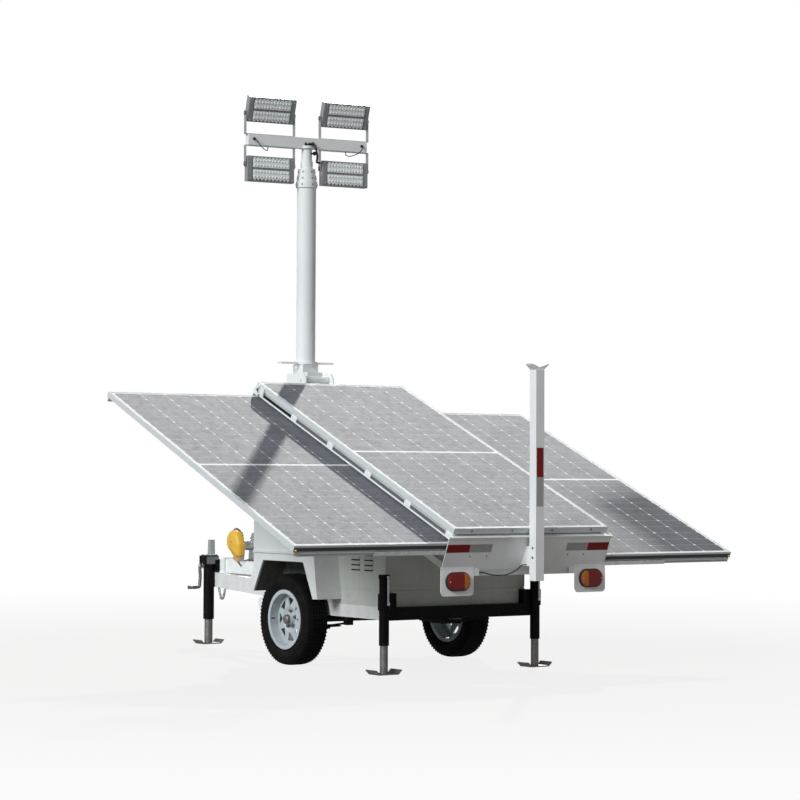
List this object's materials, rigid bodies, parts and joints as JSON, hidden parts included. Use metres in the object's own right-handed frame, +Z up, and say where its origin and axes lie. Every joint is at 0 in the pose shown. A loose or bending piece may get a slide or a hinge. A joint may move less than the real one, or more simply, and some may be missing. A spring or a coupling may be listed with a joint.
{
  "type": "towed solar lighting trailer",
  "caption": "Towed lighting trailer with a sloping array of sliding solar panels, a folding telescopic mast with tilting floodlights, jacks and a ball drawbar.",
  "frame": {"origin": "on the ground below the middle of the overall box", "axes": "+Y forward along the drawbar, +X right, +Z up"},
  "size_m": [3.252, 3.77, 3.6551],
  "materials": {
    "white paint": "satin",
    "galvanised": "satin",
    "black paint": "satin",
    "anodised frame": "satin",
    "panel glass": "gloss",
    "tyre": "matte",
    "red lens": "gloss",
    "lamp grey": "satin",
    "winch yellow": "satin",
    "black rubber": "matte"
  },
  "bodies": {
    "trailer": {"arch_liners": "black rubber", "array_base_frame": "white paint", "array_top_frame": "white paint", "axle": "galvanised", "battery_tray": "white paint", "cabinet": "white paint", "centre_panel_frame": "anodised frame", "centre_panel_glass": "panel glass", "chassis_frame": "white paint", "coupler": "galvanised", "drawbar_beam": "white paint", "front_jack_tube": "black paint", "jack_cranks": "galvanised", "leaf_springs": "black paint", "mast_column": "white paint", "mast_rest_post": "white paint", "rear_beam": "black paint", "rear_jack_tubes": "black paint", "rear_skirt": "white paint", "slide_channels": "anodised frame", "tail_cable": "black rubber", "tail_lamps": "red lens", "wheel_pods": "white paint", "winch_cover": "winch yellow", "winch_frame": "winch yellow"},
    "left_wheel": {"left_tyre": "tyre", "left_rim": "white paint"},
    "right_wheel": {"right_tyre": "tyre", "right_rim": "white paint"},
    "rear_left_leg": {"rear_left_jack_leg": "galvanised"},
    "rear_right_leg": {"rear_right_jack_leg": "galvanised"},
    "front_leg": {"front_jack_leg": "galvanised"},
    "left_panel": {"left_panel_frame": "anodised frame", "left_panel_glass": "panel glass"},
    "right_panel": {"right_panel_frame": "anodised frame", "right_panel_glass": "panel glass"},
    "left_middles": {"left_slide_middles": "anodised frame"},
    "right_middles": {"right_slide_middles": "anodised frame"},
    "mast_tilting_foot": {"mast_foot": "white paint"},
    "mast_turning_tube": {"mast_outer_tube": "white paint"},
    "mast_first": {"mast_stage_1": "white paint"},
    "mast_second": {"mast_stage_2": "white paint"},
    "mast_third": {"mast_stage_3": "white paint", "lamp_bar": "white paint", "lamp_yokes": "white paint", "lamp_leads": "black rubber"},
    "upper_left_lamp": {"floodlight_upper_left": "lamp grey"},
    "upper_right_lamp": {"floodlight_upper_right": "lamp grey"},
    "lower_left_lamp": {"floodlight_lower_left": "lamp grey"},
    "lower_right_lamp": {"floodlight_lower_right": "lamp grey"}
  },
  "joints": [
    {"name": "left_wheel_spin", "type": "hinge", "parent": "trailer", "child": "left_wheel", "pos_m": [-0.62, -0.237, 0.281], "axis": [1, 0, 0], "continuous": true},
    {"name": "right_wheel_spin", "type": "hinge", "parent": "trailer", "child": "right_wheel", "pos_m": [0.62, -0.237, 0.281], "axis": [1, 0, 0], "continuous": true},
    {"name": "rear_left_jack", "type": "slide", "parent": "trailer", "child": "rear_left_leg", "axis": [0, 0, 1], "range_m": [-0.12, 0.12]},
    {"name": "rear_right_jack", "type": "slide", "parent": "trailer", "child": "rear_right_leg", "axis": [0, 0, 1], "range_m": [-0.12, 0.12]},
    {"name": "front_jack", "type": "slide", "parent": "trailer", "child": "front_leg", "axis": [0, 0, 1], "range_m": [-0.12, 0.12]},
    {"name": "left_panel_drawer", "type": "slide", "parent": "trailer", "child": "left_panel", "axis": [1, 0, 0], "range_m": [0, 1.059]},
    {"name": "right_panel_drawer", "type": "slide", "parent": "trailer", "child": "right_panel", "axis": [-1, 0, 0], "range_m": [0, 1.059]},
    {"name": "left_middle_slide", "type": "slide", "parent": "trailer", "child": "left_middles", "axis": [1, 0, 0], "range_m": [0, 0.5295]},
    {"name": "right_middle_slide", "type": "slide", "parent": "trailer", "child": "right_middles", "axis": [-1, 0, 0], "range_m": [0, 0.5295]},
    {"name": "mast_tilt", "type": "hinge", "parent": "trailer", "child": "mast_tilting_foot", "pos_m": [0, 0.479, 1.795], "axis": [1, 0, 0], "range_deg": [0, 90]},
    {"name": "mast_turn", "type": "hinge", "parent": "mast_tilting_foot", "child": "mast_turning_tube", "pos_m": [0, 0.589, 1.834], "axis": [0, 0, 1], "range_deg": [-175, 175]},
    {"name": "mast_stage_one", "type": "slide", "parent": "mast_turning_tube", "child": "mast_first", "axis": [0, 0, 1], "range_m": [0, 0.85]},
    {"name": "mast_stage_two", "type": "slide", "parent": "mast_first", "child": "mast_second", "axis": [0, 0, 1], "range_m": [0, 0.85]},
    {"name": "mast_stage_three", "type": "slide", "parent": "mast_second", "child": "mast_third", "axis": [0, 0, 1], "range_m": [0, 0.85]},
    {"name": "upper_left_lamp_tilt", "type": "hinge", "parent": "mast_third", "child": "upper_left_lamp", "pos_m": [-0.26721, 0.6277, 3.536], "axis": [0.9897, -0.1433, 0], "range_deg": [-65, 40]},
    {"name": "upper_right_lamp_tilt", "type": "hinge", "parent": "mast_third", "child": "upper_right_lamp", "pos_m": [0.26721, 0.5503, 3.536], "axis": [0.9897, -0.1433, 0], "range_deg": [-65, 40]},
    {"name": "lower_left_lamp_tilt", "type": "hinge", "parent": "mast_third", "child": "lower_left_lamp", "pos_m": [-0.26721, 0.6277, 3.201], "axis": [0.9897, -0.1433, 0], "range_deg": [-45, 60]},
    {"name": "lower_right_lamp_tilt", "type": "hinge", "parent": "mast_third", "child": "lower_right_lamp", "pos_m": [0.26721, 0.5503, 3.201], "axis": [0.9897, -0.1433, 0], "range_deg": [-45, 60]}
  ],
  "couplings": [
    {"joint": "left_middle_slide", "follows": "left_panel_drawer", "ratio": 0.5},
    {"joint": "right_middle_slide", "follows": "right_panel_drawer", "ratio": 0.5},
    {"joint": "mast_stage_two", "follows": "mast_stage_one", "ratio": 1},
    {"joint": "mast_stage_three", "follows": "mast_stage_one", "ratio": 1}
  ]
}
